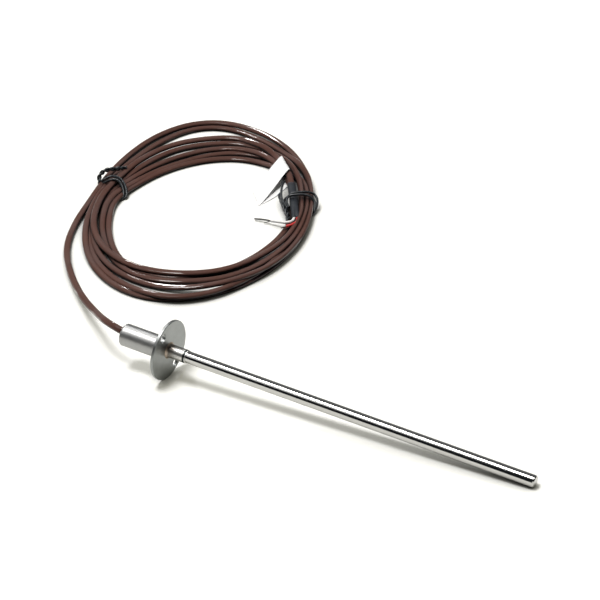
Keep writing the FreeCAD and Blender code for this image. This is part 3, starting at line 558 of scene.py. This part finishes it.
# The turns lean their flat face to the front, some a little more than others.
LEAN = math.radians(17)
LOOSE_LEAN = 0.28
LOOSE_PACE = 0.23
LOOSE_SEED = 7.0
# The right tie draws the upper ones together on edge.
SQUEEZE = math.radians(50)
UPPER_ROW = 2.6
SQUEEZE_FOCUS = 4
# The lead from the housing shows its flat face too; in the sleeve the cable lies flat.
LEAD_LEAN = math.radians(70)
LEAD_POINTS = 6
SLEEVE_POINTS = 6


def on_probe(along):
    return FLANGE_FACE + PROBE_AXIS * along


def coil_keys():
    """The stations of all the turns in one row: degrees gone, share and height."""
    keys = []
    for turn in range(TURNS):
        for gone, share, height in COIL_STATIONS:
            if turn < len(share):
                keys.append((gone + 360 * turn, share[turn], height[turn]))
    return keys


def eased(keys, gone):
    """Share of the way from the opening to the outline, and height, between the keys."""
    at = max(i for i in range(len(keys) - 1) if keys[i][0] <= gone)
    before, low, high = keys[max(at - 1, 0)], keys[at], keys[at + 1]
    after = keys[min(at + 2, len(keys) - 1)]
    span = high[0] - low[0]
    part = (gone - low[0]) / span
    values = []
    for which in (1, 2):
        slope_in = (high[which] - before[which]) / (high[0] - before[0]) * span
        slope_out = (after[which] - low[which]) / (after[0] - low[0]) * span
        values.append(
            low[which] * (2 * part ** 3 - 3 * part ** 2 + 1)
            + slope_in * (part ** 3 - 2 * part ** 2 + part)
            + high[which] * (3 * part ** 2 - 2 * part ** 3)
            + slope_out * (part ** 3 - part ** 2)
        )
    return values


def coil_point(share, angle, height):
    """A control point of the coil; the spline runs a little inside its points, so they lie out."""
    middle = OPENING.middle.lerp(OUTLINE.middle, share)
    turn, half_long, half_wide = (
        inner + (outer - inner) * share for inner, outer in zip(OPENING[1:], OUTLINE[1:])
    )
    grow = 1 / math.cos(math.pi / TURN_POINTS)
    along = half_long * grow * math.cos(angle)
    across = half_wide * grow * math.sin(angle)
    turn = math.radians(turn)
    return Vector((
        middle.x + along * math.cos(turn) - across * math.sin(turn),
        middle.y + along * math.sin(turn) + across * math.cos(turn),
        height,
    ))


def cable_points():
    points = [on_probe(LEAD_START), on_probe(LEAD_BEND) + UP * LEAD_RISE]
    for across, along, height in LEAD_ROUTE:
        points.append(Vector((
            CABLE_EXIT.x + across * (COIL_JOIN.x - CABLE_EXIT.x),
            along * COIL_JOIN.y,
            FLOOR_ROW + height * (CABLE_EXIT.z - FLOOR_ROW),
        )))
    keys = coil_keys()
    step = 360 / TURN_POINTS
    for count in range(int(TAIL_TURN / step)):
        gone = step * (count + 0.5)
        share, height = eased(keys, gone)
        points.append(coil_point(share, math.radians(LEFT_TIE_ANGLE - gone), height))
    points += [Vector(point) for point in TAIL_ROUTE]
    return points


def cable_lean(knots, count):
    """How far the flat cable is turned about its own line at one of its knots."""
    if count >= len(knots) - SLEEVE_POINTS:
        return 0.0
    way = (knots[count + 1].co - knots[max(count - 1, 0)].co).to_3d()
    side = way.cross(UP).normalized()
    if count < LEAD_POINTS:
        return LEAD_LEAN * side.dot(FRONT)
    loose = LOOSE_LEAN * noise.noise(Vector((count * LOOSE_PACE, 0.0, LOOSE_SEED)))
    upper = max(0.0, min(1.0, knots[count].co.z / MM - UPPER_ROW))
    squeezed = SQUEEZE * upper * max(0.0, -side.dot(RIGHT)) ** SQUEEZE_FOCUS
    return LEAN * side.dot(FRONT) + (loose + squeezed)


def make_cable():
    cable = bent_line("cable", [cable_points()], steps=5)
    cable.data.twist_mode = "Z_UP"
    cable.data.bevel_depth = CABLE_HEIGHT / 2 * MM
    cable.data.extrude = (CABLE_WIDTH - CABLE_HEIGHT) / 2 * MM
    cable.data.bevel_resolution = 4
    cable.data.use_fill_caps = True
    knots = cable.data.splines[0].points
    for count, knot in enumerate(knots):
        knot.tilt = math.pi / 2 + cable_lean(knots, count)
    dress(cable, JACKET, "cable_jacket", "cable_lead", "cable_coil", "cable_tail")
    return cable


def mesh_piece(name, work):
    """A smooth mesh object from bmesh work, which is used up."""
    mesh = bpy.data.meshes.new(name)
    work.to_mesh(mesh)
    work.free()
    for face in mesh.polygons:
        face.use_smooth = True
    piece = bpy.data.objects.new(name, mesh)
    scene.collection.objects.link(piece)
    return piece


def loft(name, rings):
    """A closed mesh through rings of equally many points, in millimetres."""
    work = bmesh.new()
    rows = [[work.verts.new(point * MM) for point in ring] for ring in rings]
    for row, following in zip(rows, rows[1:]):
        for i in range(len(row)):
            j = (i + 1) % len(row)
            work.faces.new((row[i], row[j], following[j], following[i]))
    work.faces.new(rows[0][::-1])
    work.faces.new(rows[-1])
    bmesh.ops.recalc_face_normals(work, faces=work.faces)
    return mesh_piece(name, work)


# The sleeve from its turned-in back lip to its front lip: way along the tail, half width, half
# height, and how far its middle is drawn in between the two leads.
SLEEVE_STAGES = [
    (6.0, 1.95, 1.20, 0.0),
    (4.1, 2.05, 1.30, 0.0),
    (4.0, 2.35, 1.58, 0.0),
    (4.6, 2.40, 1.65, 0.0),
    (14.0, 2.40, 1.65, 0.0),
    (24.0, 2.38, 1.62, 0.0),
    (34.0, 2.36, 1.60, 0.05),
    (38.0, 2.34, 1.50, 0.15),
    (43.0, 2.34, 1.40, 0.35),
    (45.6, 2.36, 1.40, 0.40),
    (46.0, 2.28, 1.32, 0.40),
    (45.9, 2.00, 1.05, 0.30),
    (43.5, 1.85, 0.92, 0.28),
]
SLEEVE_SIDES = 40
SLEEVE_FLATNESS = 1.6
WAIST_WIDTH = 0.8
LUMP_HEIGHT = 0.10
LUMPS_ALONG = 0.35
LUMPS_ROUND = 1.3
LUMP_SEED = 4.0


def sleeve_ring(along, half_wide, half_high, waist):
    """One ring of the sleeve: a flat oval whose middle is drawn in by waist."""
    ring = []
    flat = half_wide - half_high
    for i in range(SLEEVE_SIDES):
        angle = 2 * math.pi * i / SLEEVE_SIDES
        side, rise = math.cos(angle), math.sin(angle)
        flat_part = math.copysign(min(abs(side) * SLEEVE_FLATNESS, 1.0), side)
        across = half_high * side + flat * flat_part
        drawn = waist * math.exp(-(across / WAIST_WIDTH) ** 2)
        spot = Vector((along * LUMPS_ALONG, angle * LUMPS_ROUND, LUMP_SEED))
        height = (half_high - drawn + LUMP_HEIGHT * noise.noise(spot)) * rise
        ring.append(TAIL_START + TAIL_WAY * along + TAIL_SIDE * across + UP * height)
    return ring


def make_sleeve():
    sleeve = loft("sleeve", [sleeve_ring(*stage) for stage in SLEEVE_STAGES])
    dress(sleeve, SLEEVE, "sleeve_plastic", "shrink_sleeve")
    return sleeve


# The label's fold over the tail, and its profile: how far it reaches from the fold and how high
# it lies, down the upper leaf from its end, round the tail and out along the lower leaf.
LABEL_FOLD = [
    Vector((-158.4, 234.2, 4.2)),
    Vector((-151.0, 228.4, 4.2)),
    Vector((-143.6, 221.0, 4.2)),
]
LABEL_PROFILE = [
    (38.5, 0.12), (32.0, 0.7), (26.0, 1.8), (20.0, 2.9), (14.0, 4.1), (9.0, 5.2), (5.0, 6.0),
    (2.0, 6.5), (0.0, 6.6), (-1.6, 6.2), (-2.7, 5.2), (-3.1, 3.8), (-2.9, 2.4), (-2.0, 1.2),
    (-0.5, 0.6), (3.0, 0.4), (9.0, 0.35), (15.0, 0.35), (21.0, 0.35), (27.0, 0.35),
    (33.0, 0.15), (38.4, 0.05),
]
UPPER_LEAF_END = 8
LOWER_LEAF_START = 15
LABEL_ROWS = 13
LABEL_THICKNESS = 0.06
LEAF_REACH = 37.0
# The leaves lean to the right and taper; the first rows are nipped in near the fold; the lower
# leaf lies further right than the upper one, which curls a little.
LEAF_LEAN = 0.05
LEAF_TAPER = 0.085
NIP = 2.2
NIP_REACH = 18
SPREAD = 0.5
SPREAD_GROWTH = 3.2
SPREAD_RUN = 14.0
CURL = 0.08
CURL_WAVE = 3.0


def label_point(down, index):
    """A point of the label, at a share of the way down its fold, of its profile's point index."""
    up = 1 - down
    base = LABEL_FOLD[0] * up ** 2 + LABEL_FOLD[1] * (2 * down * up) + LABEL_FOLD[2] * down ** 2
    reach, height = LABEL_PROFILE[index]
    out = max(reach, 0.0)
    nip = NIP * up ** 2 * max(0.0, 1 - out / NIP_REACH)
    spread = 0.0
    if index >= LOWER_LEAF_START:
        held = max(0.0, min(1.0, (LEAF_REACH - reach) / SPREAD_RUN))
        spread = (SPREAD + SPREAD_GROWTH * down) * held
    if index < UPPER_LEAF_END:
        height += CURL * math.sin(CURL_WAVE * down) * out / LEAF_REACH
    lean = (LEAF_LEAN + LEAF_TAPER * up) * reach
    return Vector((base.x + lean + spread + nip, base.y - reach, height))


def make_label():
    """A paper flag wrapped once over the tail, its two leaves laid back together."""
    work = bmesh.new()
    grid = [[work.verts.new(label_point(row / (LABEL_ROWS - 1), index) * MM)
             for index in range(len(LABEL_PROFILE))]
            for row in range(LABEL_ROWS)]
    for row, following in zip(grid, grid[1:]):
        for i in range(len(row) - 1):
            work.faces.new((row[i], row[i + 1], following[i + 1], following[i]))
    label = mesh_piece("label", work)
    card = label.modifiers.new("card", "SOLIDIFY")
    card.thickness = LABEL_THICKNESS * MM
    card.offset = 0.0
    smooth = label.modifiers.new("smooth", "SUBSURF")
    smooth.levels = 2
    smooth.render_levels = 2
    dress(label, PAPER, "label_paper", "marker_flag")
    return label


# Each tie is a wire that goes twice round the coil, with its ends twisted together.
LEFT_WRAP = [
    [(-234.5, 159.6, 3.5), (-232.9, 160.4, 5.0), (-231.6, 162.8, 5.6), (-229.8, 164.3, 6.3),
     (-226.3, 164.2, 6.6), (-222.7, 163.0, 6.6), (-218.6, 160.3, 5.8), (-215.7, 157.6, 4.2),
     (-213.6, 154.9, 2.4), (-213.2, 152.7, 0.8), (-217.0, 152.6, 0.7), (-224.0, 155.0, 0.7),
     (-231.0, 157.5, 0.7), (-234.6, 158.6, 1.0), (-235.3, 159.2, 2.6)],
    [(-233.2, 159.3, 3.0), (-230.3, 158.6, 4.8), (-228.3, 159.9, 6.0), (-225.7, 161.2, 6.5),
     (-222.8, 161.0, 6.5), (-219.1, 158.3, 5.4), (-216.3, 155.8, 3.8), (-214.6, 153.1, 2.0),
     (-214.3, 150.2, 0.8), (-217.5, 150.0, 0.7), (-224.0, 152.6, 0.7), (-230.5, 155.4, 0.7),
     (-233.8, 157.4, 0.9), (-234.6, 158.6, 2.4)],
]
LEFT_TWIST = [
    (-234.6, 158.8, 2.6), (-236.0, 159.7, 4.6), (-236.3, 161.5, 6.6), (-235.8, 164.7, 7.6),
    (-234.5, 167.5, 7.8), (-232.9, 170.2, 7.4), (-231.1, 172.8, 6.8), (-230.1, 175.5, 6.0),
    (-229.1, 179.2, 5.0),
]
RIGHT_WRAP = [
    [(-127.5, 190.8, 5.6), (-126.4, 192.4, 7.9), (-123.8, 194.7, 8.4), (-121.0, 196.8, 8.5),
     (-118.1, 198.6, 8.4), (-115.7, 200.4, 7.4), (-113.3, 200.1, 6.0), (-111.4, 198.1, 4.8),
     (-110.1, 195.1, 3.6), (-109.2, 191.6, 2.2), (-108.7, 188.2, 0.8), (-113.0, 186.5, 0.7),
     (-120.0, 187.0, 0.7), (-126.0, 188.5, 0.8), (-129.0, 189.5, 2.4), (-128.6, 189.4, 4.2)],
    [(-128.0, 188.7, 5.2), (-126.7, 190.0, 7.2), (-124.5, 191.3, 8.1), (-121.6, 193.2, 8.4),
     (-118.6, 194.9, 8.4), (-115.8, 195.7, 8.0), (-113.5, 195.8, 6.8), (-111.5, 195.1, 5.2),
     (-110.1, 193.1, 3.9), (-109.2, 190.2, 2.2), (-108.8, 187.2, 0.8), (-112.5, 184.5, 0.7),
     (-119.0, 184.8, 0.7), (-125.5, 186.4, 0.8), (-128.8, 188.0, 2.4), (-129.0, 188.8, 4.0)],
]
RIGHT_TAILS = [
    [(-138.6, 205.8, 6.5), (-135.7, 199.1, 6.3), (-132.6, 192.9, 6.0), (-129.5, 188.4, 5.4),
     (-125.7, 184.7, 4.8), (-122.5, 182.6, 4.2)],
    [(-126.5, 189.6, 6.8), (-125.8, 187.0, 6.2), (-124.1, 184.8, 5.4), (-122.0, 183.4, 4.6)],
]
RIGHT_TWIST = [
    (-134.8, 195.0, 4.5), (-131.0, 190.0, 4.4), (-126.4, 184.7, 4.0), (-121.6, 179.6, 3.2),
    (-117.7, 175.4, 2.4), (-117.0, 172.6, 1.4),
]
TIE_RADIUS = 0.7
TIE_STEPS = 6


def make_ties():
    left_ends = twisted(LEFT_TWIST, radius=0.72, pitch=7.0, strands=2)
    left = round_wire("left_tie_wire", LEFT_WRAP + left_ends, TIE_RADIUS, TIE_STEPS)
    dress(left, TIE, "tie_plastic", "left_tie")
    right_ends = RIGHT_TAILS + twisted(RIGHT_TWIST, radius=0.72, pitch=9.0, strands=2)
    right = round_wire("right_tie_wire", RIGHT_WRAP + right_ends, TIE_RADIUS, TIE_STEPS)
    dress(right, TIE, "tie_plastic", "right_tie")
    return [left, right]


# The white lead's bare end: a twisted bundle, and one strand that stands off it.
STRAND_BUNDLE = [
    (-123.6, 167.1, 2.5), (-127.0, 167.6, 2.1), (-131.0, 168.0, 1.5), (-135.4, 167.2, 1.1),
]
STRAY_STRAND = [(-124.0, 167.2, 2.4), (-125.6, 167.4, 1.9), (-128.4, 165.9, 0.8)]
STRAND_RADIUS = 0.2
STRAND_STEPS = 3


def make_strands():
    bundle = twisted(STRAND_BUNDLE, radius=0.36, pitch=6.0, strands=5)
    strands = round_wire("white_strands", bundle + [STRAY_STRAND], STRAND_RADIUS, STRAND_STEPS)
    dress(strands, STRANDS, "bare_wire", "white_conductor_end")
    return strands


cable = make_cable()
sleeve = make_sleeve()
label = make_label()
ties = make_ties()
strands = make_strands()
